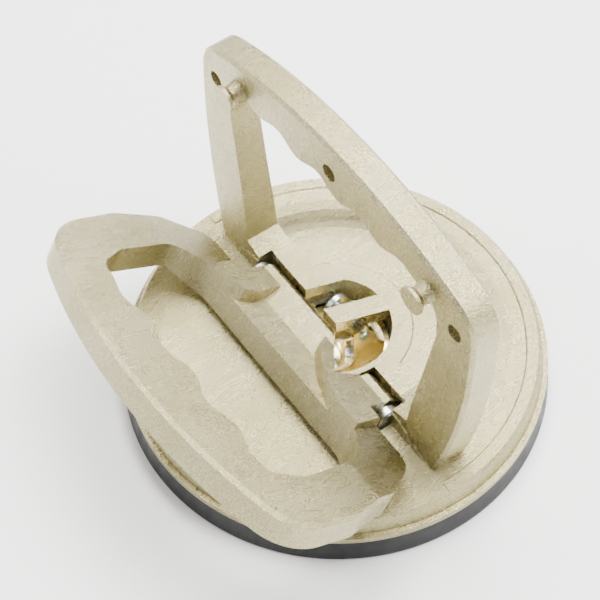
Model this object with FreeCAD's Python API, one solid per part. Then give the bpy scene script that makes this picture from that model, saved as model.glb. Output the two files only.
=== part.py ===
import FreeCAD, Part
import math
import os

V = FreeCAD.Vector
UP = V(0, 0, 1)
ALONG_X = V(1, 0, 0)
ALONG_Y = V(0, 1, 0)

# ---------------------------------------------------------------- driving sizes (mm)
# Rubber pad, its lip on the tile
PAD_RADIUS = 60.0
PAD_HEIGHT = 7.75
PAD_TAPER = 1.1
PAD_BEVEL = 1.6
MEMBRANE_THICK = 3.4

# Die-cast base: a round shell with a raised saddle across its rear half
FLANGE_RADIUS = 58.9
FLANGE_THICK = 2.1
SKIRT_RADIUS = 57.5
SKIRT_DRAFT = 1.0
RIM_Z = 15.5
RIM_WIDTH = 3.9
RIM_STEP = 0.4
RIM_ROUND = 0.9
SHELL_WALL = 3.4
SADDLE_Z = 21.5
SADDLE_RADIUS = 30.0
SADDLE_FOOT_RADIUS = 48.0
BOSS_RADIUS = 21.0
BOSS_STEP = 0.35
CEILING_RADIUS = 35.0
POCKET_FLOOR_WALL = 2.4

# Gaps between pieces
RUN_GAP = 0.05
FREE_GAP = 0.35
SEAM_GAP = 0.5

# Hinge of the lever: it is carried by the lift yoke and rises with it
HINGE_Y = -5.0
HINGE_Z = 17.0
HINGE_PIN_RADIUS = 2.0
KNUCKLE_RADIUS = 4.55
KNUCKLE_HALF = 27.4
POCKET_HALF = 30.5
LEVER_REST = 30.0
LEVER_TURN = 52.0
LIFT = 3.8

# Cam heels of the lever, which bear on the pocket floor
HEEL_INNER = 19.5
HEEL_OUTER = 26.8
HEEL_GAP = 0.08
HEEL_REACH = 9.2
UNDERCUT_Z = 17.35

# Lever loop, in its own frame: X across, u out from the hinge, v up from its plane
LEVER_TOP = 4.7
LEVER_THICK = 8.2
LEVER_BAR_THICK = 12.6
LEVER_OUT = 69.2
LEVER_CROWN_RADIUS = 145.0
LEVER_HALF = 57.0
LEVER_SIDE_U = 37.0
LEVER_BACK_U = 7.2
LEVER_BACK_HALF = 45.5
LEVER_CORNER = 15.0
LEVER_EDGE = 1.0
LOOP_HALF = 42.0
LOOP_NEAR_U = 16.6
LOOP_FAR_U = 53.0
LOOP_CORNER = 14.0
LOOP_FAR_CORNER = 9.0
LEVER_GROOVE_PITCH = 19.5

# Upright handle, cast in one with the base
HANDLE_TOP = 98.8
HANDLE_CROWN_RADIUS = 145.0
HANDLE_HALF = 55.1
HANDLE_HALF_Z = 72.0
HANDLE_FOOT_HALF = 47.8
HANDLE_CORNER = 10.0
HANDLE_FRONT = -3.5
HANDLE_THICK = 8.6
FOOT_EXTRA = 1.4
HANDLE_EDGE = 0.9
GRIP_Z = 84.3
SPLIT_Z = 78.0
WINDOW_HALF = 42.3
WINDOW_CORNER = 7.0
WINDOW_FOOT_HALF = 36.0
WINDOW_FOOT_Z = 24.2
WINDOW_SILL_HALF = 28.0
HANDLE_GROOVE_PITCH = 16.5
GROOVE_DEPTH = 1.4
GROOVE_SHIFT = 3.3

# Holes and stop studs of the handle
HOLE_RADIUS = 2.4
HOLE_SIDE_X = 48.0
HOLE_SIDE_Z = 79.9
HOLE_TOP_Z = 89.9
STUD_X = 37.6
STUD_Z = 84.9
STUD_SHAFT = 2.55
STUD_HEAD = 3.7
STUD_HEAD_THICK = 1.2
STUD_SPIGOT = 1.6
STUD_SPIGOT_DEPTH = 5.0

# Hub flat and hollow in the lever's top
HUB_FRONT_Y = -8.9
HOLLOW_LEFT = -20.6
HOLLOW_FLOOR = -0.4

# Guide insert in the bore of the base, turned about the vertical
INSERT_RADIUS = 16.65
INSERT_WALL = 1.45
INSERT_SEAT_Z = 12.5
WEB_TURN = -18.5
WEB_WIDTH = 5.6
WEB_OFFSET = -3.1
WEB_DEPTH = 4.2
WINDOW_CHORD = -13.6
WEB_SLOT_SKIN = 0.9

# Lift yoke, cup and cross pin: the plunger
YOKE_RADIUS = 24.0
YOKE_THICK = 1.8
YOKE_GAP = 0.3
EAR_THICK = 2.0
EAR_HALF = 3.4
EAR_INNER = 27.9
CUP_RADIUS = 14.6
CUP_WALL = 1.2
CUP_RISE = 5.6
CUP_RIM = 2.0
CUP_FOOT_RADIUS = 6.0
FORK_THICK = 1.5
FORK_GAP = 0.45
FORK_FLOOR = 1.2
FORK_SHIFT = 0.8
FORK_FRONT = 6.2
FORK_BACK = 3.2
FORK_TIP = 3.2
CROSS_Y = 6.6
CROSS_Z = 14.8
CROSS_RADIUS = 1.5
CROSS_HEAD_RADIUS = 3.8
CROSS_HEAD_X = -8.0
CROSS_HEAD_THICK = 3.0
CROSS_TIP_X = 4.6
RIVET_RADIUS = 1.6

# ---------------------------------------------------------------- worked out from them
FLOOR_Z = HINGE_Z - KNUCKLE_RADIUS - FREE_GAP
CEILING_Z = FLOOR_Z - POCKET_FLOOR_WALL
YOKE_Z = MEMBRANE_THICK + YOKE_GAP
YOKE_TOP = YOKE_Z + YOKE_THICK
HANDLE_BACK = HANDLE_FRONT + HANDLE_THICK
INSERT_INNER = INSERT_RADIUS - INSERT_WALL
SADDLE_FRONT = HINGE_Y + KNUCKLE_RADIUS + SEAM_GAP
FLANGE_TOP = PAD_HEIGHT + FLANGE_THICK
FRONT_Z = RIM_Z - RIM_STEP
RIM_INNER = SKIRT_RADIUS - SKIRT_DRAFT - RIM_WIDTH - RIM_STEP


# ---------------------------------------------------------------- small helpers
def box(x0, x1, y0, y1, z0, z1):
    return Part.makeBox(x1 - x0, y1 - y0, z1 - z0, V(x0, y0, z0))


def rod(radius, start, end):
    way = end - start
    return Part.makeCylinder(radius, way.Length, start, way)


def turned(points):
    """A solid of revolution about the vertical from (radius, height) corners."""
    corners = [V(r, 0, z) for r, z in points]
    return Part.Face(Part.makePolygon(corners + corners[:1])).revolve(V(), UP, 360)


def prism(edges, way):
    """A solid drawn along way from the flat outline that the edges close."""
    return Part.Face(Part.Wire(Part.__sortEdges__(edges))).extrude(way)


def lines(points):
    return [Part.makeLine(a, b) for a, b in zip(points, points[1:])]


def rounded(shape, radius, chosen):
    edges = [edge for edge in shape.Edges if chosen(edge)]
    return shape.makeFillet(radius, edges) if edges else shape


def bevelled(shape, size, chosen):
    edges = [edge for edge in shape.Edges if chosen(edge)]
    return shape.makeChamfer(size, edges) if edges else shape


def mirrored(shape):
    return shape.mirror(V(), ALONG_X)


def both_sides(shape):
    return [shape, mirrored(shape)]


def middle(edge):
    return edge.valueAt((edge.FirstParameter + edge.LastParameter) / 2)


def upright(edge):
    ends = (edge.FirstParameter, edge.LastParameter)
    return all(abs(edge.tangentAt(end).z) > 0.999 for end in ends)


def save(name, shape):
    shape = shape.removeSplitter()
    shape.exportStep("parts/" + name + ".step")
    print(name, len(shape.Solids), round(shape.Volume, 1), shape.isValid())


# ---------------------------------------------------------------- outlines of the two handles
def groove(x, pitch):
    """Finger grooves: how far the edge stands in from its mean line at x."""
    fade = 1 - (x / LOOP_HALF) ** 4
    return GROOVE_DEPTH * fade * math.cos(2 * math.pi * (x - GROOVE_SHIFT) / pitch)


def grip_edge(half, pitch, place):
    steps = 24
    xs = [half * (2 * i / steps - 1) for i in range(steps + 1)]
    curve = Part.BSplineCurve()
    curve.interpolate([place(x, groove(x, pitch)) for x in xs])
    return curve.toShape()


def crown(half, top, radius, place):
    """The outer arc of a handle from -half to +half, with its crown at top."""
    drop = radius - math.sqrt(radius ** 2 - half ** 2)
    return Part.Arc(place(-half, top - drop), place(0, top), place(half, top - drop)).toShape()


def crown_end(half, top, radius):
    return top - radius + math.sqrt(radius ** 2 - half ** 2)


# ---------------------------------------------------------------- base casting
def base_shell():
    skirt_top = SKIRT_RADIUS - SKIRT_DRAFT
    ring_inner = skirt_top - RIM_WIDTH
    inner_wall = SKIRT_RADIUS - SHELL_WALL
    outline = [
        V(0, 0, CEILING_Z), V(CEILING_RADIUS, 0, CEILING_Z), V(CEILING_RADIUS + 2, 0, RIM_Z - SHELL_WALL),
        V(inner_wall - 2, 0, RIM_Z - SHELL_WALL), V(inner_wall, 0, PAD_HEIGHT),
        V(FLANGE_RADIUS, 0, PAD_HEIGHT), V(FLANGE_RADIUS, 0, FLANGE_TOP), V(SKIRT_RADIUS, 0, FLANGE_TOP),
        V(skirt_top, 0, RIM_Z - RIM_ROUND), V(skirt_top - RIM_ROUND, 0, RIM_Z), V(ring_inner, 0, RIM_Z),
        V(ring_inner - RIM_STEP, 0, FRONT_Z), V(SADDLE_FOOT_RADIUS, 0, FRONT_Z),
    ]
    foot = V(SADDLE_FOOT_RADIUS, 0, FRONT_Z)
    head = V(SADDLE_RADIUS, 0, SADDLE_Z - BOSS_STEP)
    flank = flank_lines(foot, head)
    inner = [
        V(SADDLE_RADIUS, 0, SADDLE_Z - BOSS_STEP), V(BOSS_RADIUS, 0, SADDLE_Z - BOSS_STEP),
        V(BOSS_RADIUS - BOSS_STEP, 0, SADDLE_Z), V(0, 0, SADDLE_Z), V(0, 0, CEILING_Z),
    ]
    edges = lines(outline) + flank + lines(inner)
    return Part.Face(Part.Wire(Part.__sortEdges__(edges))).revolve(V(), UP, 360)


def flank_lines(foot, head):
    """The saddle's flank: level at its foot and at its head, with two short turns between."""
    way = head - foot
    turns = ((0.22, 0.1), (0.4, 0.32), (0.6, 0.68), (0.78, 0.9))
    knees = [foot + V(way.x * share, 0, way.z * rise) for share, rise in turns]
    return lines([foot] + knees + [head])


def handle_blank():
    """The upright handle's outer form, down to the base, in the X-Z plane."""
    def place(x, z):
        return V(x, HANDLE_FRONT - FOOT_EXTRA, z)
    corner_x = HANDLE_HALF - 1.0
    corner_z = crown_end(corner_x, HANDLE_TOP, HANDLE_CROWN_RADIUS)
    foot_z = CEILING_Z + 3
    side = Part.Arc(place(corner_x, corner_z), place(HANDLE_HALF, HANDLE_HALF_Z),
                    place(HANDLE_FOOT_HALF, foot_z)).toShape()
    sill = Part.makeLine(place(-HANDLE_FOOT_HALF, foot_z), place(HANDLE_FOOT_HALF, foot_z))
    edges = [crown(corner_x, HANDLE_TOP, HANDLE_CROWN_RADIUS, place), side, mirrored(side), sill]
    solid = prism(edges, V(0, HANDLE_THICK + 2 * FOOT_EXTRA, 0))
    return rounded(solid, HANDLE_CORNER, lambda e: along_y(e) and abs(middle(e).z - corner_z) < 0.1)


def along_y(edge):
    return abs(abs(edge.tangentAt(edge.FirstParameter).y) - 1) < 1e-6


def handle_window():
    """The finger gap of the upright handle."""
    front = HANDLE_FRONT - 2 * FOOT_EXTRA

    def place(x, z):
        return V(x, front, z)
    half = WINDOW_HALF - 1.0
    grip = grip_edge(half, HANDLE_GROOVE_PITCH, lambda x, dip: place(x, GRIP_Z - dip))
    start = grip.valueAt(grip.LastParameter)
    side = [start, place(WINDOW_HALF, 72), place(WINDOW_FOOT_HALF + 1.2, 36),
            place(WINDOW_FOOT_HALF, WINDOW_FOOT_Z),
            place(WINDOW_SILL_HALF, SADDLE_Z), place(WINDOW_SILL_HALF - 3, SADDLE_Z)]
    other = [V(-p.x, p.y, p.z) for p in side[1:]]
    other = [grip.valueAt(grip.FirstParameter)] + other
    edges = [grip] + lines(side) + lines(other) + [Part.makeLine(side[-1], other[-1])]
    solid = prism(edges, V(0, HANDLE_THICK + 6 * FOOT_EXTRA, 0))
    return rounded(solid, WINDOW_CORNER, lambda e: along_y(e) and abs(middle(e).z - start.z) < 2.5)


def handle_wedge():
    """Side view of the upright handle: straight at the grip, thickening down to the feet."""
    x = -70
    faces = []
    for face, way in ((HANDLE_FRONT, -1), (HANDLE_BACK, 1)):
        swell = Part.BezierCurve()
        foot = face + way * FOOT_EXTRA
        swell.setPoles([V(x, face, SPLIT_Z), V(x, face, (SPLIT_Z + CEILING_Z) / 2), V(x, foot, CEILING_Z)])
        faces.append(swell.toShape())
    top = HANDLE_TOP + 5
    faces += lines([V(x, HANDLE_FRONT, SPLIT_Z), V(x, HANDLE_FRONT, top), V(x, HANDLE_BACK, top),
                    V(x, HANDLE_BACK, SPLIT_Z)])
    feet = [V(x, HANDLE_FRONT - FOOT_EXTRA, CEILING_Z), V(x, HANDLE_BACK + FOOT_EXTRA, CEILING_Z)]
    faces += lines(feet)
    return prism(faces, V(140, 0, 0))


def upright_handle():
    blank = handle_blank()
    handle = bevelled(blank.common(handle_wedge()), HANDLE_EDGE, outer_handle_edge)
    handle = handle.cut(handle_window())
    for x, z in ((-HOLE_SIDE_X, HOLE_SIDE_Z), (0, HOLE_TOP_Z), (HOLE_SIDE_X, HOLE_SIDE_Z)):
        handle = handle.cut(rod(HOLE_RADIUS, V(x, -20, z), V(x, 20, z)))
    for x in (-STUD_X, STUD_X):
        start = V(x, HANDLE_FRONT, STUD_Z)
        handle = handle.cut(rod(STUD_SPIGOT, start - V(0, 1, 0), start + V(0, STUD_SPIGOT_DEPTH, 0)))
    return handle


def outer_handle_edge(edge):
    """The long front and back edges of the outer outline."""
    spot = middle(edge)
    outside = abs(spot.x) > HANDLE_FOOT_HALF - 3 or spot.z > GRIP_Z
    return not along_y(edge) and spot.z > CEILING_Z + 4 and outside


def hinge_pocket():
    """Room for the knuckle, the cam heels and the front half of the lever."""
    x = -POCKET_HALF
    front = HINGE_Y - KNUCKLE_RADIUS - SEAM_GAP
    points = [V(x, front - 6, FRONT_Z), V(x, front, FRONT_Z), V(x, front, FLOOR_Z),
              V(x, SADDLE_FRONT, FLOOR_Z),
              V(x, SADDLE_FRONT, SADDLE_Z + 9), V(x, front - 6, SADDLE_Z + 9)]
    trench = prism(lines(points + points[:1]), V(2 * POCKET_HALF, 0, 0))
    return trench.fuse(both_sides(heel_room()))


def heel_room():
    back = HINGE_Y + HEEL_REACH + FREE_GAP
    return box(HEEL_INNER - FREE_GAP, POCKET_HALF, SADDLE_FRONT - 1, back, FLOOR_Z, UNDERCUT_Z)


def front_step():
    """In front of the handle the base stays low, to let the lever lie down."""
    front = HANDLE_FRONT - FOOT_EXTRA
    return box(-70, 70, -70, front, FRONT_Z, SADDLE_Z + 9)


def ear_slot():
    y = HINGE_Y
    wide = EAR_HALF + FREE_GAP
    return box(EAR_INNER - FREE_GAP, EAR_INNER + EAR_THICK + FREE_GAP, y - wide, y + wide, 0, FLOOR_Z + 1)


def pocket_tools():
    """What is machined out of the casting, for its round base and for its handle alike."""
    bore = turned([(0, 0), (INSERT_INNER + 0.1, 0), (INSERT_INNER + 0.1, INSERT_SEAT_Z),
                   (INSERT_RADIUS, INSERT_SEAT_Z), (INSERT_RADIUS, SADDLE_Z + 1), (0, SADDLE_Z + 1)])
    return [hinge_pocket(), bore] + both_sides(ear_slot())


def base_casting():
    base = base_shell().cut(front_step())
    for tool in pocket_tools():
        base = base.cut(tool)
    return base


def handle_casting():
    """The upright handle down to where it runs into the round base."""
    guard = turned([(0, 0), (RIM_INNER, 0), (RIM_INNER, HANDLE_TOP), (0, HANDLE_TOP)])
    above = box(-PAD_RADIUS, PAD_RADIUS, -PAD_RADIUS, PAD_RADIUS, FRONT_Z + 1, HANDLE_TOP + 1)
    handle = upright_handle().common(guard.fuse(above)).cut(base_shell().cut(front_step()))
    for tool in pocket_tools():
        handle = handle.cut(tool)
    return handle


# ---------------------------------------------------------------- lever
def lay_lever(shape):
    """From the lever's own frame (hinge at 0, out along -Y) to its place on the base."""
    shape = shape.copy()
    shape.rotate(V(), ALONG_X, -LEVER_REST)
    shape.translate(V(0, HINGE_Y, HINGE_Z))
    return shape


def lever_outline():
    def place(x, u):
        return V(x, -u, LEVER_TOP - LEVER_BAR_THICK)
    corner_x = LEVER_HALF - 1.0
    corner_u = crown_end(corner_x, LEVER_OUT, LEVER_CROWN_RADIUS)
    side = [place(corner_x, corner_u), place(LEVER_HALF, LEVER_SIDE_U),
            place(LEVER_HALF - 4, LEVER_SIDE_U - 16),
            place(LEVER_BACK_HALF, LEVER_BACK_U)]
    other = [V(-p.x, p.y, p.z) for p in side]
    edges = [crown(corner_x, LEVER_OUT, LEVER_CROWN_RADIUS, place)]
    edges += lines(side) + lines(other) + [Part.makeLine(side[-1], other[-1])]
    solid = prism(edges, V(0, 0, LEVER_BAR_THICK))
    solid = rounded(solid, LEVER_CORNER, lambda e: upright(e) and middle(e).y < -LEVER_SIDE_U - 5)
    return rounded(solid, LEVER_CORNER / 2, lambda e: upright(e) and middle(e).y > -LEVER_BACK_U - 0.1)


def lever_window():
    def place(x, u):
        return V(x, -u, -20)
    half = LOOP_HALF - 4.0
    grip = grip_edge(half, LEVER_GROOVE_PITCH, lambda x, dip: place(x, LOOP_FAR_U - dip))
    end = grip.valueAt(grip.LastParameter)
    side = [end, place(LOOP_HALF, LOOP_FAR_U - 9), place(LOOP_HALF - 0.5, LOOP_NEAR_U + 9),
            place(LOOP_HALF - 9, LOOP_NEAR_U)]
    other = [grip.valueAt(grip.FirstParameter)] + [V(-p.x, p.y, p.z) for p in side[1:]]
    edges = [grip] + lines(side) + lines(other) + [Part.makeLine(side[-1], other[-1])]
    solid = prism(edges, V(0, 0, 40))
    far = -(LOOP_FAR_U - 12)
    solid = rounded(solid, LOOP_FAR_CORNER / 2, lambda e: upright(e) and middle(e).y < far)
    return rounded(solid, LOOP_CORNER / 2, lambda e: upright(e) and middle(e).y > -(LOOP_NEAR_U + 12))


def lever_under_cut():
    """Below the loop the lever is thinner than at its bar."""
    low = LEVER_TOP - LEVER_BAR_THICK - 1
    thin = LEVER_TOP - LEVER_THICK
    x = -80
    points = [V(x, -90, low), V(x, -LOOP_NEAR_U - 7, low), V(x, -LOOP_NEAR_U - 1, low + 1),
              V(x, -LOOP_NEAR_U - 9, thin), V(x, -90, thin)]
    return prism(lines(points + points[:1]), V(160, 0, 0))


def bed_clearance():
    """What the lever must leave free at rest: the low front of the base."""
    top = FRONT_Z + FREE_GAP
    return box(-80, 80, -80, HINGE_Y - KNUCKLE_RADIUS + 0.6, top - 30, top)


def hub_level(u):
    """Height v of the level hub flat above the hinge at distance u."""
    rest = math.radians(LEVER_REST)
    return (SADDLE_Z - HINGE_Z - u * math.sin(rest)) / math.cos(rest)


def lever_neck():
    """Joins the knuckle to the bar; level on top at the seam with the base."""
    x = -KNUCKLE_HALF
    low = LEVER_TOP - LEVER_BAR_THICK
    seam_u = 0.3
    rest = math.radians(LEVER_REST)
    flat_u = (SADDLE_Z - HINGE_Z - LEVER_TOP * math.cos(rest)) / math.sin(rest)
    points = [V(x, 0, 0), V(x, -seam_u, hub_level(seam_u)), V(x, -flat_u, LEVER_TOP),
              V(x, -LOOP_NEAR_U, LEVER_TOP),
              V(x, -LOOP_NEAR_U, low), V(x, -LEVER_BACK_U, low), V(x, -0.5, -KNUCKLE_RADIUS + 0.1)]
    return prism(lines(points + points[:1]), V(2 * KNUCKLE_HALF, 0, 0))


def heel_point(turn):
    """Where the heel touches the floor after the lever has turned, in the lever's frame.

    The height of the hinge over the floor grows evenly with the turn, so the heel is an
    involute of a circle whose radius is the lift per radian.
    """
    angle = math.radians(LEVER_REST + turn)
    rate = LIFT / math.radians(LEVER_TURN)
    height = HINGE_Z - FLOOR_Z - HEEL_GAP + rate * math.radians(turn)
    u = -height * math.sin(angle) - rate * math.cos(angle)
    v = -height * math.cos(angle) + rate * math.sin(angle)
    return V(HEEL_INNER, -u, v)


def cam_heel():
    steps = 8
    curve = Part.BSplineCurve()
    curve.interpolate([heel_point(LEVER_TURN * i / steps) for i in range(steps + 1)])
    first = heel_point(0)
    last = heel_point(LEVER_TURN)
    top_u = V(HEEL_INNER, 2.7, 2.25)
    foot = V(HEEL_INNER, -1.0, -KNUCKLE_RADIUS + 0.6)
    edges = [curve.toShape()] + lines([last, top_u, foot, first])
    return prism(edges, V(HEEL_OUTER - HEEL_INNER, 0, 0))


def hub_hollow():
    """The hollow in the lever's top: level hub flat, then a floor under the lever's plane."""
    hub_u = -(HUB_FRONT_Y - HINGE_Y) / math.cos(math.radians(LEVER_REST)) + 3.0
    plan = [V(HOLLOW_LEFT, 6, -2), V(HOLLOW_LEFT + 2, -7, -2), V(HOLLOW_LEFT + 2.2, -12, -2),
            V(HOLLOW_LEFT + 0.3, -15.6, -2), V(HOLLOW_LEFT - 3.4, -LOOP_NEAR_U, -2),
            V(HOLLOW_LEFT - 3.4, -30, -2),
            V(22, -30, -2), V(22, -LOOP_NEAR_U, -2), V(18.5, -15.2, -2), V(10, -11.4, -2), V(3.4, -6.4, -2),
            V(0.9, -1.2, -2), V(-0.6, 6, -2)]
    column = prism(lines(plan + plan[:1]), V(0, 0, 30))
    x = -40
    side = [V(x, 6, hub_level(-6)), V(x, -hub_u, hub_level(hub_u)), V(x, -LOOP_NEAR_U - 2, HOLLOW_FLOOR),
            V(x, -40, HOLLOW_FLOOR), V(x, -40, 30), V(x, 6, 30)]
    return column.common(prism(lines(side + side[:1]), V(80, 0, 0)))


def leg_relief():
    """Takes the lever's shoulders back where they come up against the handle's feet."""
    raised = math.radians(LEVER_REST + LEVER_TURN)
    front = HANDLE_FRONT - FOOT_EXTRA - FREE_GAP
    hinge_z = HINGE_Z + LIFT

    def own(y, z):
        dy = y - HINGE_Y
        dz = z - hinge_z
        u = -dy * math.cos(raised) + dz * math.sin(raised)
        v = dy * math.sin(raised) + dz * math.cos(raised)
        return V(POCKET_HALF + 1.0, -u, v)
    low = own(front, hinge_z - 4)
    knee = own(front, CEILING_Z + 12)
    high = own(HANDLE_FRONT - FREE_GAP, GRIP_Z - 20)
    points = [low, knee, high, high + V(0, 0, 20), low + V(0, 0, 20)]
    return prism(lines(points + points[:1]), V(60, 0, 0))


def insert_clearance():
    """The lever is cut back round the guide insert, on its right half."""
    round_room = Part.makeCylinder(INSERT_RADIUS + 2.5 * FREE_GAP, 60, V(0, 0, 0))
    slope = math.tan(math.radians(37))
    points = [V(0, 10, 0), V(0, -0.8, 0), V(25, -0.8 - 25 * slope, 0), V(25, 10, 0)]
    return round_room.common(prism(lines(points + points[:1]), V(0, 0, 60)))


def lever():
    loop = lever_outline().cut(lever_window()).cut(lever_under_cut())
    loop = bevelled(loop, LEVER_EDGE, lever_outer_edge)
    for side in both_sides(leg_relief()):
        loop = loop.cut(side)
    knuckle = Part.makeCylinder(KNUCKLE_RADIUS, 2 * KNUCKLE_HALF, V(-KNUCKLE_HALF, 0, 0), ALONG_X)
    body = loop.fuse(lever_neck()).fuse(knuckle)
    body = body.fuse(both_sides(cam_heel()))
    body = body.cut(hub_hollow())
    for side in (-1, 1):
        start = V(side * (HEEL_INNER + 1), 0, 0)
        body = body.cut(rod(HINGE_PIN_RADIUS + RUN_GAP, start, V(side * 40, 0, 0)))
    body = lay_lever(body).cut(bed_clearance()).cut(insert_clearance())
    return body.cut(box(-80, 80, -30, 30, SADDLE_Z - 0.01, SADDLE_Z + 5).common(seam_room()))


def seam_room():
    return box(-KNUCKLE_HALF - 1, KNUCKLE_HALF + 1, HINGE_Y - 0.1, 20, 0, 60)


def lever_outer_edge(edge):
    spot = middle(edge)
    flat = abs(spot.z - LEVER_TOP) < 0.01
    outside = abs(spot.x) > LOOP_HALF + 5 or spot.y < -LOOP_FAR_U - 6
    return flat and outside


# ---------------------------------------------------------------- guide insert
def turn_web(shape):
    shape = shape.copy()
    shape.rotate(V(), UP, WEB_TURN)
    return shape


def guide_insert():
    ring = Part.makeCylinder(INSERT_RADIUS, SADDLE_Z - INSERT_SEAT_Z, V(0, 0, INSERT_SEAT_Z))
    ring = ring.cut(Part.makeCylinder(INSERT_INNER, 60, V(0, 0, 0)))
    web_low = SADDLE_Z - WEB_DEPTH
    x0 = WEB_OFFSET - WEB_WIDTH / 2
    web = turn_web(box(x0, x0 + WEB_WIDTH, -20, 20, web_low, SADDLE_Z))
    side = turn_web(box(-20, WINDOW_CHORD, -20, 20, web_low, SADDLE_Z))
    inside = Part.makeCylinder(INSERT_INNER + 0.5, 60, V(0, 0, 0))
    insert = ring.fuse(web.common(inside)).fuse(side.common(inside))
    slot_top = SADDLE_Z - WEB_SLOT_SKIN
    half = CROSS_RADIUS + FREE_GAP
    insert = insert.cut(box(-20, 20, CROSS_Y - half, CROSS_Y + half, 0, slot_top).common(slot_reach()))
    return insert.cut(lever_sweep())


def slot_reach():
    return Part.makeCylinder(INSERT_INNER - 1.5, 60, V(0, 0, 0))


def lever_sweep():
    """The insert ends where the lever's hub lies over it."""
    front = box(-30, 1.6, -30, SADDLE_FRONT, FLOOR_Z - 0.01, 40)
    slope = math.tan(math.radians(32))
    points = [V(0, SADDLE_FRONT, FLOOR_Z - 0.01), V(0, -30, FLOOR_Z - 0.01), V(30, -30, FLOOR_Z - 0.01),
              V(30, -30 * slope, FLOOR_Z - 0.01)]
    return front.fuse(prism(lines(points + points[:1]), V(0, 0, 30)))


# ---------------------------------------------------------------- plunger
def lift_yoke():
    """Steel plate bonded to the pad, with two ears that carry the hinge pins."""
    plate = Part.makeCylinder(YOKE_RADIUS, YOKE_THICK, V(0, 0, YOKE_Z))
    outer = EAR_INNER + EAR_THICK
    plate = plate.fuse(box(-outer, outer, HINGE_Y - EAR_HALF, HINGE_Y + EAR_HALF, YOKE_Z, YOKE_TOP))
    ear = box(EAR_INNER, outer, HINGE_Y - EAR_HALF, HINGE_Y + EAR_HALF, YOKE_Z, HINGE_Z)
    head = Part.makeCylinder(EAR_HALF, EAR_THICK, V(EAR_INNER, HINGE_Y, HINGE_Z), ALONG_X)
    ear = ear.fuse(head)
    ear = ear.cut(rod(HINGE_PIN_RADIUS, V(0, HINGE_Y, HINGE_Z), V(60, HINGE_Y, HINGE_Z)))
    yoke = plate.fuse(both_sides(ear))
    for spot in rivet_spots():
        yoke = yoke.cut(rod(RIVET_RADIUS, spot - V(0, 0, 5), spot + V(0, 0, 5)))
    return yoke


def rivet_spots():
    base = V(0, CUP_FOOT_RADIUS - 2.5, YOKE_TOP)
    return [turned_point(base, 120 * i + 90) for i in range(3)]


def turned_point(point, angle):
    a = math.radians(angle)
    x = point.x * math.cos(a) - point.y * math.sin(a)
    y = point.x * math.sin(a) + point.y * math.cos(a)
    return V(x, y, point.z)


def cup_outside():
    rise = YOKE_TOP + CUP_RISE
    return [(0, YOKE_TOP), (CUP_FOOT_RADIUS, YOKE_TOP), (CUP_RADIUS, rise), (CUP_RADIUS, rise + CUP_RIM)]


def cup_inside():
    low = YOKE_TOP + CUP_WALL
    side = CUP_RADIUS - CUP_WALL
    return [(side, YOKE_TOP + CUP_RISE + CUP_RIM), (side, YOKE_TOP + CUP_RISE + CUP_WALL / 2),
            (CUP_FOOT_RADIUS - CUP_WALL / 2, low), (0, low)]


def lift_cup():
    """Pressed steel cup on the yoke, seen through the windows of the insert."""
    cup = turned(cup_outside() + cup_inside())
    web_low = SADDLE_Z - WEB_DEPTH
    x0 = WEB_OFFSET - WEB_WIDTH / 2 - FREE_GAP
    x1 = WEB_OFFSET + WEB_WIDTH / 2 + FREE_GAP
    clear_z = web_low - LIFT - FREE_GAP
    cup = cup.cut(turn_web(box(x0, x1, -20, 20, clear_z, 40)))
    cup = cup.cut(box(-20, 20, -20, SADDLE_FRONT + FREE_GAP, FLOOR_Z - FREE_GAP, 40))
    wide = CROSS_HEAD_RADIUS + FREE_GAP
    cup = cup.cut(box(-20, CROSS_HEAD_X + FREE_GAP, CROSS_Y - wide, CROSS_Y + wide, CROSS_Z - wide, 40))
    for spot in rivet_spots():
        cup = cup.cut(rod(RIVET_RADIUS, spot - V(0, 0, 5), spot + V(0, 0, 5)))
    return cup


def cross_fork():
    """Two upright ears in the cup, one each side of the web, that hold the cross pin."""
    low = YOKE_TOP + CUP_WALL
    right = WEB_OFFSET + WEB_WIDTH / 2 + FORK_GAP
    left = WEB_OFFSET - WEB_WIDTH / 2 - FORK_GAP - FORK_THICK
    start = CROSS_Y + FORK_SHIFT - FORK_FRONT
    end = CROSS_Y + FORK_SHIFT + FORK_BACK
    ears = []
    for x in (left, right):
        leaf = box(x, x + FORK_THICK, start, end, low, CROSS_Z)
        tip = Part.makeCylinder(FORK_TIP, FORK_THICK, V(x, CROSS_Y + FORK_SHIFT, CROSS_Z - 0.6), ALONG_X)
        ears.append(turn_web(leaf.fuse(tip)))
    floor = turn_web(box(left, right + FORK_THICK, start, end, low, low + FORK_FLOOR))
    fork = ears[0].fuse([ears[1], floor])
    top = SADDLE_Z + LIFT
    rim, foot = cup_inside()[1:3]
    fork = fork.common(turned([(0, low), foot, rim, (rim[0], top), (0, top)]))
    fork = fork.cut(rod(CROSS_RADIUS, V(-30, CROSS_Y, CROSS_Z), V(30, CROSS_Y, CROSS_Z)))
    for spot in rivet_spots():
        fork = fork.cut(rod(RIVET_RADIUS, spot - V(0, 0, 5), spot + V(0, 0, 9)))
    return fork


def cross_pin():
    """A plain pin with a chamfered head, turned from (radius, length) corners."""
    head = CROSS_HEAD_RADIUS
    thick = CROSS_HEAD_THICK
    length = CROSS_TIP_X - CROSS_HEAD_X
    pin = turned([(0, -thick), (head * 0.6, -thick), (head, -thick * 0.45), (head, 0), (CROSS_RADIUS, 0),
                  (CROSS_RADIUS, length), (0, length)])
    pin.rotate(V(), ALONG_Y, 90)
    pin.translate(V(CROSS_HEAD_X, CROSS_Y, CROSS_Z))
    return pin


def rivets():
    """Three rivets hold the fork and the cup on the yoke."""
    low = YOKE_Z
    high = YOKE_TOP + CUP_WALL
    out = []
    for spot in rivet_spots():
        shank = rod(RIVET_RADIUS, V(spot.x, spot.y, low), V(spot.x, spot.y, high + 0.6))
        out.append(shank)
    return Part.makeCompound(out)


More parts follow.
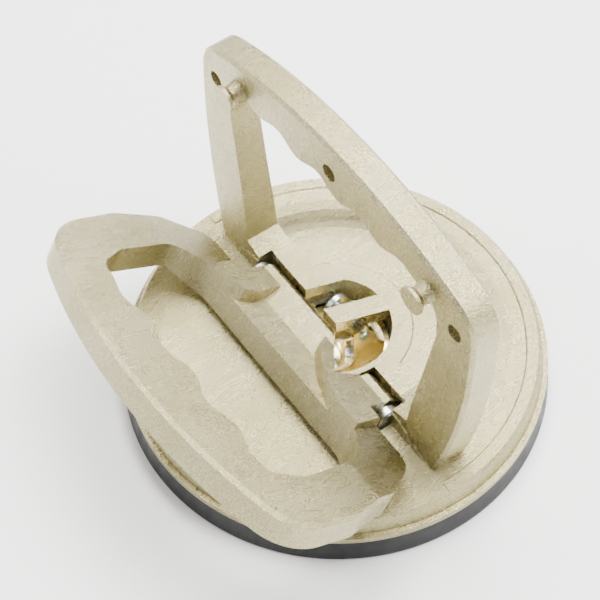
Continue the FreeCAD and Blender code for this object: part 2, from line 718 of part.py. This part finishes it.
# ---------------------------------------------------------------- pins, studs and pad
def hinge_pin():
    outer = EAR_INNER + EAR_THICK + 0.15
    return rod(HINGE_PIN_RADIUS, V(HEEL_INNER + 1.5, HINGE_Y, HINGE_Z), V(outer, HINGE_Y, HINGE_Z))


def stop_stud():
    """A spool: flared at its root and at its free end, with a spigot in the handle."""
    raised = math.radians(LEVER_REST + LEVER_TURN)
    reach = (STUD_Z - HINGE_Z - LIFT - LEVER_TOP * math.cos(raised)) / math.sin(raised)
    face = HINGE_Y - reach * math.cos(raised) + LEVER_TOP * math.sin(raised)
    length = HANDLE_FRONT - face - FREE_GAP - STUD_HEAD / math.tan(raised)
    t = STUD_HEAD_THICK
    profile = [(0, -STUD_SPIGOT_DEPTH + 0.3), (STUD_SPIGOT, -STUD_SPIGOT_DEPTH + 0.3), (STUD_SPIGOT, 0),
               (STUD_HEAD - 0.5, 0), (STUD_SHAFT, t * 1.5), (STUD_SHAFT, length - t * 1.7),
               (STUD_HEAD, length - t * 0.7), (STUD_HEAD, length), (0, length)]
    stud = turned(profile)
    stud.rotate(V(), ALONG_X, 90)
    stud.translate(V(STUD_X, HANDLE_FRONT, STUD_Z))
    return stud


def suction_pad():
    """Rubber pad: a thin middle bonded to the yoke and a thick rim under the base."""
    seat_inner = SKIRT_RADIUS - SHELL_WALL
    thick = MEMBRANE_THICK
    return turned([(0, 0), (PAD_RADIUS - 0.5, 0), (PAD_RADIUS, PAD_BEVEL * 0.4),
                   (PAD_RADIUS - 0.1, PAD_BEVEL), (PAD_RADIUS - PAD_TAPER, PAD_HEIGHT),
                   (seat_inner, PAD_HEIGHT), (seat_inner - 2.5, thick + 0.6),
                   (seat_inner - 5, thick), (0, thick)])


# ---------------------------------------------------------------- write the pieces
def main():
    os.makedirs("parts", exist_ok=True)
    save("base_casting", base_casting())
    save("upright_handle", handle_casting())
    save("lever_handle", lever())
    save("guide_insert", guide_insert())
    save("lift_yoke", lift_yoke())
    save("lift_cup", lift_cup())
    save("cross_fork", cross_fork())
    save("cross_pin", cross_pin())
    save("fork_rivets", rivets())
    save("hinge_pin_right", hinge_pin())
    save("hinge_pin_left", mirrored(hinge_pin()))
    save("stop_stud_right", stop_stud())
    save("stop_stud_left", mirrored(stop_stud()))
    save("suction_pad", suction_pad())


main()
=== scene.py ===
import bpy
import math
from mathutils import Matrix, Vector

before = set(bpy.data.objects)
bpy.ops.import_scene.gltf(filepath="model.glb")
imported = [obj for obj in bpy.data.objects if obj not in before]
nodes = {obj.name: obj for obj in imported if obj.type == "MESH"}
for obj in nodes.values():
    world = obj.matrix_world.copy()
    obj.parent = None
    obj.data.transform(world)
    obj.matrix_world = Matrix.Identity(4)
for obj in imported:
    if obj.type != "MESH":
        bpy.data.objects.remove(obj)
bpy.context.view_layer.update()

# %% [markdown]
# # Floor tile suction lifter
# The tool is a rubber cup under a cast round base, an upright loop handle cast in one with the base,
# and a second loop that folds down. All rigid shapes come from the imported model, so this lesson is
# about finishes: how a satin plated casting, passivated steel and moulded rubber are built from nodes.

# %% Names of the pieces in the model before anything is added
print("pieces in the frame:", sorted(nodes))

# %% [markdown]
# ## Camera
# The lifter is seen from high up and from its front right corner, as a tool lying on a bench is.
# An aim point, a distance and two angles say that more clearly than a matrix, and a long lens
# keeps the two loops in proportion. A very small roll takes the stiffness out of the view.

# %% Camera
AZIMUTH = math.radians(54.4)
ELEVATION = math.radians(55.85)
ROLL = math.radians(-0.6)
AIM = Vector((-0.0185, 0.001, 0.0106))
DISTANCE = 0.450

camera_data = bpy.data.cameras.new("bench_camera")
camera_data.lens = 95.0
camera_data.sensor_width = 36.0
camera_data.clip_start = 0.01
camera = bpy.data.objects.new("bench_camera", camera_data)
bpy.context.collection.objects.link(camera)
turn = Matrix.Rotation(AZIMUTH, 3, "Z") @ Matrix.Rotation(math.pi / 2 - ELEVATION, 3, "X")
turn = turn @ Matrix.Rotation(ROLL, 3, "Z")
camera.rotation_euler = turn.to_euler()
camera.location = AIM - (turn @ Vector((0, 0, -1))) * DISTANCE
bpy.context.scene.camera = camera
print("camera at", [round(v, 3) for v in camera.location])

# %% [markdown]
# ## Soft light
# A plated casting shows its surroundings, so it looks like metal only if there are large light
# and dark shapes to reflect. One big panel overhead, a lower panel on each side and a dim
# world do that; small lamps would only make hard spots.

# %% Light panels and world
def light_panel(name, place, aim, size, watts, tint):
    data = bpy.data.lights.new(name, "AREA")
    data.shape = "RECTANGLE"
    data.size, data.size_y = size
    data.energy = watts
    data.color = tint
    lamp = bpy.data.objects.new(name, data)
    lamp.location = place
    lamp.rotation_euler = (Vector(aim) - Vector(place)).to_track_quat("-Z", "Y").to_euler()
    bpy.context.collection.objects.link(lamp)
    return lamp


light_panel("panel_above", (-0.15, 0.25, 0.95), (0, 0, 0.02), (0.9, 0.7), 42.0, (1.0, 0.99, 0.97))
light_panel("panel_right", (0.85, 0.45, 0.55), (0, 0, 0.03), (0.6, 0.6), 9.0, (1.0, 1.0, 1.0))
light_panel("panel_left", (-0.7, -0.55, 0.45), (0, 0, 0.03), (0.6, 0.5), 6.0, (1.0, 1.0, 1.0))

world = bpy.data.worlds.new("studio")
world.use_nodes = True
sky = world.node_tree.nodes["Background"]
sky.inputs["Color"].default_value = (0.93, 0.94, 0.95, 1.0)
sky.inputs["Strength"].default_value = 0.3
bpy.context.scene.world = world

# %% [markdown]
# ## Floor
# The floor is only a stage. A circle much larger than the tool, filled and pale, hides its own
# edge from the camera and gives the rubber its soft contact shadow.

# %% Floor
bpy.ops.object.select_all(action="DESELECT")
bpy.ops.mesh.primitive_circle_add(vertices=96, radius=4.0, fill_type="NGON", location=(0, 0, 0))
floor = bpy.context.active_object
floor.name = "bench_floor"
paper = bpy.data.materials.new("white_paper")
paper.use_nodes = True
paper_shader = paper.node_tree.nodes["Principled BSDF"]
paper_shader.inputs["Base Color"].default_value = (1.0, 1.0, 1.0, 1)
paper_shader.inputs["Roughness"].default_value = 0.9
floor.data.materials.append(paper)

# %% [markdown]
# ## Three effects that several finishes share
# *Pebble grain* is the fine sandy relief that blasting and plating leave on a die casting.
# *Bath stains* are the slow colour shifts of a plating bath. *Handling marks* are short rubbed
# streaks. Each is a node group, built once, so every finish can take it at its own scale.

# %% A helper that makes an effect group
def effect_group(name, inputs, outputs):
    group = bpy.data.node_groups.new(name, "ShaderNodeTree")
    for label, kind, value in inputs:
        socket = group.interface.new_socket(name=label, in_out="INPUT", socket_type=kind)
        socket.default_value = value
    for label, kind in outputs:
        group.interface.new_socket(name=label, in_out="OUTPUT", socket_type=kind)
    start = group.nodes.new("NodeGroupInput")
    start.location = (-900, 0)
    end = group.nodes.new("NodeGroupOutput")
    end.location = (700, 0)
    return group, start, end


# %% Pebble grain
def make_pebble_grain():
    group, start, end = effect_group(
        "pebble_grain",
        [("Grains per metre", "NodeSocketFloat", 1600.0), ("Softness", "NodeSocketFloat", 0.5)],
        [("Height", "NodeSocketFloat"), ("Painted hollow shade", "NodeSocketFloat")],
    )
    make, link = group.nodes.new, group.links.new
    place = make("ShaderNodeTexCoord")
    grain = make("ShaderNodeTexNoise")
    grain.inputs["Detail"].default_value = 3.0
    grain.inputs["Roughness"].default_value = 0.6
    pits = make("ShaderNodeTexVoronoi")
    pits.feature = "SMOOTH_F1"
    half = make("ShaderNodeMath")
    half.operation = "MULTIPLY"
    half.inputs[1].default_value = 0.6
    mix = make("ShaderNodeMix")
    link(place.outputs["Object"], grain.inputs["Vector"])
    link(place.outputs["Object"], pits.inputs["Vector"])
    link(start.outputs["Grains per metre"], grain.inputs["Scale"])
    link(start.outputs["Grains per metre"], half.inputs[0])
    link(half.outputs[0], pits.inputs["Scale"])
    link(start.outputs["Softness"], mix.inputs["Factor"])
    link(grain.outputs["Fac"], mix.inputs["A"])
    link(pits.outputs["Distance"], mix.inputs["B"])
    link(mix.outputs["Result"], end.inputs["Height"])
    # the grain's own value also goes out as the mask for painted shade in the grain's hollows
    link(grain.outputs["Fac"], end.inputs["Painted hollow shade"])
    return group


pebble_grain = make_pebble_grain()


# %% Bath stains
def make_bath_stains():
    group, start, end = effect_group(
        "bath_stains",
        [
            ("Patches per metre", "NodeSocketFloat", 45.0),
            ("Colour A", "NodeSocketColor", (0.7, 0.68, 0.55, 1)),
            ("Colour B", "NodeSocketColor", (0.6, 0.58, 0.45, 1)),
        ],
        [("Color", "NodeSocketColor"), ("Mask", "NodeSocketFloat")],
    )
    make, link = group.nodes.new, group.links.new
    place = make("ShaderNodeTexCoord")
    cloud = make("ShaderNodeTexNoise")
    cloud.inputs["Detail"].default_value = 4.0
    cloud.inputs["Distortion"].default_value = 0.4
    spread = make("ShaderNodeMapRange")
    spread.inputs["From Min"].default_value = 0.32
    spread.inputs["From Max"].default_value = 0.68
    mix = make("ShaderNodeMix")
    mix.data_type = "RGBA"
    link(place.outputs["Object"], cloud.inputs["Vector"])
    link(start.outputs["Patches per metre"], cloud.inputs["Scale"])
    link(cloud.outputs["Fac"], spread.inputs["Value"])
    link(spread.outputs["Result"], mix.inputs["Factor"])
    link(start.outputs["Colour A"], mix.inputs["A"])
    link(start.outputs["Colour B"], mix.inputs["B"])
    link(mix.outputs["Result"], end.inputs["Color"])
    link(spread.outputs["Result"], end.inputs["Mask"])
    return group


bath_stains = make_bath_stains()


# %% Handling marks
def make_handling_marks():
    group, start, end = effect_group(
        "handling_marks",
        [
            ("Marks per metre", "NodeSocketFloat", 260.0),
            ("Low", "NodeSocketFloat", 0.35),
            ("High", "NodeSocketFloat", 0.5),
        ],
        [("Roughness", "NodeSocketFloat"), ("Mask", "NodeSocketFloat")],
    )
    make, link = group.nodes.new, group.links.new
    place = make("ShaderNodeTexCoord")
    stretch = make("ShaderNodeMapping")
    stretch.inputs["Scale"].default_value = (1.0, 0.25, 0.4)
    stretch.inputs["Rotation"].default_value = (0.3, 0.5, 0.7)
    streak = make("ShaderNodeTexNoise")
    streak.inputs["Detail"].default_value = 5.0
    streak.inputs["Roughness"].default_value = 0.62
    spread = make("ShaderNodeMapRange")
    spread.inputs["From Min"].default_value = 0.38
    spread.inputs["From Max"].default_value = 0.66
    link(place.outputs["Object"], stretch.inputs["Vector"])
    link(stretch.outputs["Vector"], streak.inputs["Vector"])
    link(start.outputs["Marks per metre"], streak.inputs["Scale"])
    link(streak.outputs["Fac"], spread.inputs["Value"])
    link(start.outputs["Low"], spread.inputs["To Min"])
    link(start.outputs["High"], spread.inputs["To Max"])
    link(spread.outputs["Result"], end.inputs["Roughness"])
    link(streak.outputs["Fac"], end.inputs["Mask"])
    return group


handling_marks = make_handling_marks()
print("effects:", [g.name for g in bpy.data.node_groups])

# %% [markdown]
# ## Metal finishes
# All the metals are one recipe: a plating colour that drifts a little, a roughness broken up by handling,
# and a grain that tilts the normal, with painted shade in its hollows and a little painted light on its
# tops.
# What tells them apart: the castings are pale champagne and sandy, the pressed steel is yellow and glossy,
# the pins bluish.

# %% The shared recipe for plated metal
RELIEF_DEPTH = 0.0003


def plated_metal(name, colour_a, colour_b, rough, grains, relief, patches=45.0, softness=0.5, painted_hollow_shade=0.0):
    material = bpy.data.materials.new(name)
    material.use_nodes = True
    tree = material.node_tree
    shader = tree.nodes["Principled BSDF"]
    shader.inputs["Metallic"].default_value = 1.0
    stains = tree.nodes.new("ShaderNodeGroup")
    stains.node_tree = bath_stains
    stains.inputs["Patches per metre"].default_value = patches
    stains.inputs["Colour A"].default_value = (*colour_a, 1)
    stains.inputs["Colour B"].default_value = (*colour_b, 1)
    marks = tree.nodes.new("ShaderNodeGroup")
    marks.node_tree = handling_marks
    marks.inputs["Low"].default_value = rough[0]
    marks.inputs["High"].default_value = rough[1]
    grain = tree.nodes.new("ShaderNodeGroup")
    grain.node_tree = pebble_grain
    grain.inputs["Grains per metre"].default_value = grains
    grain.inputs["Softness"].default_value = softness
    bump = tree.nodes.new("ShaderNodeBump")
    bump.inputs["Strength"].default_value = relief
    bump.inputs["Distance"].default_value = RELIEF_DEPTH
    # painted shade: the base colour is darkened where the grain is low, in its hollows, and lightened a
    # little on its tops
    hollow_shade_factor = tree.nodes.new("ShaderNodeMapRange")
    hollow_shade_factor.inputs["From Min"].default_value = 0.38
    hollow_shade_factor.inputs["From Max"].default_value = 0.62
    hollow_shade_factor.inputs["To Min"].default_value = 1.0 - painted_hollow_shade
    hollow_shade_factor.inputs["To Max"].default_value = 1.0 + painted_hollow_shade * 0.4
    shade = tree.nodes.new("ShaderNodeVectorMath")
    shade.operation = "SCALE"
    tree.links.new(grain.outputs["Painted hollow shade"], hollow_shade_factor.inputs["Value"])
    tree.links.new(stains.outputs["Color"], shade.inputs[0])
    tree.links.new(hollow_shade_factor.outputs["Result"], shade.inputs["Scale"])
    tree.links.new(shade.outputs["Vector"], shader.inputs["Base Color"])
    tree.links.new(marks.outputs["Roughness"], shader.inputs["Roughness"])
    tree.links.new(grain.outputs["Height"], bump.inputs["Height"])
    tree.links.new(bump.outputs["Normal"], shader.inputs["Normal"])
    return material


# the castings get painted shade 0.4 deep in their grain's hollows; the other metals get none
satin_nickel = plated_metal(
    "satin_nickel", (0.52, 0.465, 0.27), (0.44, 0.39, 0.205),
    rough=(0.22, 0.34), grains=3300.0, relief=0.9, softness=0.15, painted_hollow_shade=0.4,
)
yellow_zinc = plated_metal(
    "yellow_zinc", (0.95, 0.83, 0.48), (0.90, 0.74, 0.38),
    rough=(0.16, 0.30), grains=900.0, relief=0.15, patches=120.0,
)
blue_zinc = plated_metal(
    "blue_zinc", (0.55, 0.66, 0.70), (0.66, 0.72, 0.70),
    rough=(0.22, 0.36), grains=1200.0, relief=0.15, patches=220.0,
)
bright_zinc = plated_metal(
    "bright_zinc", (0.66, 0.67, 0.66), (0.58, 0.60, 0.62),
    rough=(0.22, 0.36), grains=1100.0, relief=0.12, patches=150.0,
)

# %% [markdown]
# ## Rubber
# Moulded rubber is nearly black, but it is never a flat black: it has a soft sheen where it curves
# and a little pale dust. So the colour goes from black to dark grey over a wide noise, and the roughness
# varies over a streaky noise of its own.

# %% Moulded rubber
def moulded_rubber():
    material = bpy.data.materials.new("black_rubber")
    material.use_nodes = True
    tree = material.node_tree
    shader = tree.nodes["Principled BSDF"]
    shader.inputs["Metallic"].default_value = 0.0
    stains = tree.nodes.new("ShaderNodeGroup")
    stains.node_tree = bath_stains
    shader.inputs["Specular IOR Level"].default_value = 0.25
    stains.inputs["Patches per metre"].default_value = 70.0
    stains.inputs["Colour A"].default_value = (0.0035, 0.0038, 0.005, 1)
    stains.inputs["Colour B"].default_value = (0.007, 0.0075, 0.009, 1)
    marks = tree.nodes.new("ShaderNodeGroup")
    marks.node_tree = handling_marks
    marks.inputs["Low"].default_value = 0.38
    marks.inputs["High"].default_value = 0.52
    grain = tree.nodes.new("ShaderNodeGroup")
    grain.node_tree = pebble_grain
    grain.inputs["Grains per metre"].default_value = 2200.0
    bump = tree.nodes.new("ShaderNodeBump")
    bump.inputs["Strength"].default_value = 0.15
    bump.inputs["Distance"].default_value = 0.0001
    tree.links.new(stains.outputs["Color"], shader.inputs["Base Color"])
    tree.links.new(marks.outputs["Roughness"], shader.inputs["Roughness"])
    tree.links.new(grain.outputs["Height"], bump.inputs["Height"])
    tree.links.new(bump.outputs["Normal"], shader.inputs["Normal"])
    return material


black_rubber = moulded_rubber()

# %% [markdown]
# ## Dressing the pieces
# Each piece of the frame gets its finish through its material slots, and nothing else about it
# changes. A dictionary from piece to finish is easy to read and easy to check.

# %% Finishes of the pieces
finish_of = {
    "base_casting": satin_nickel,
    "upright_handle": satin_nickel,
    "lever_handle": satin_nickel,
    "guide_insert": satin_nickel,
    "stop_stud_right": satin_nickel,
    "stop_stud_left": satin_nickel,
    "lift_cup": yellow_zinc,
    "cross_fork": yellow_zinc,
    "cross_pin": blue_zinc,
    "lift_yoke": bright_zinc,
    "fork_rivets": bright_zinc,
    "hinge_pin_right": bright_zinc,
    "hinge_pin_left": bright_zinc,
    "suction_pad": black_rubber,
}
for name, finish in finish_of.items():
    piece = nodes[name]
    piece.data.materials.clear()
    piece.data.materials.append(finish)
print("dressed:", len(finish_of), "of", len(nodes))
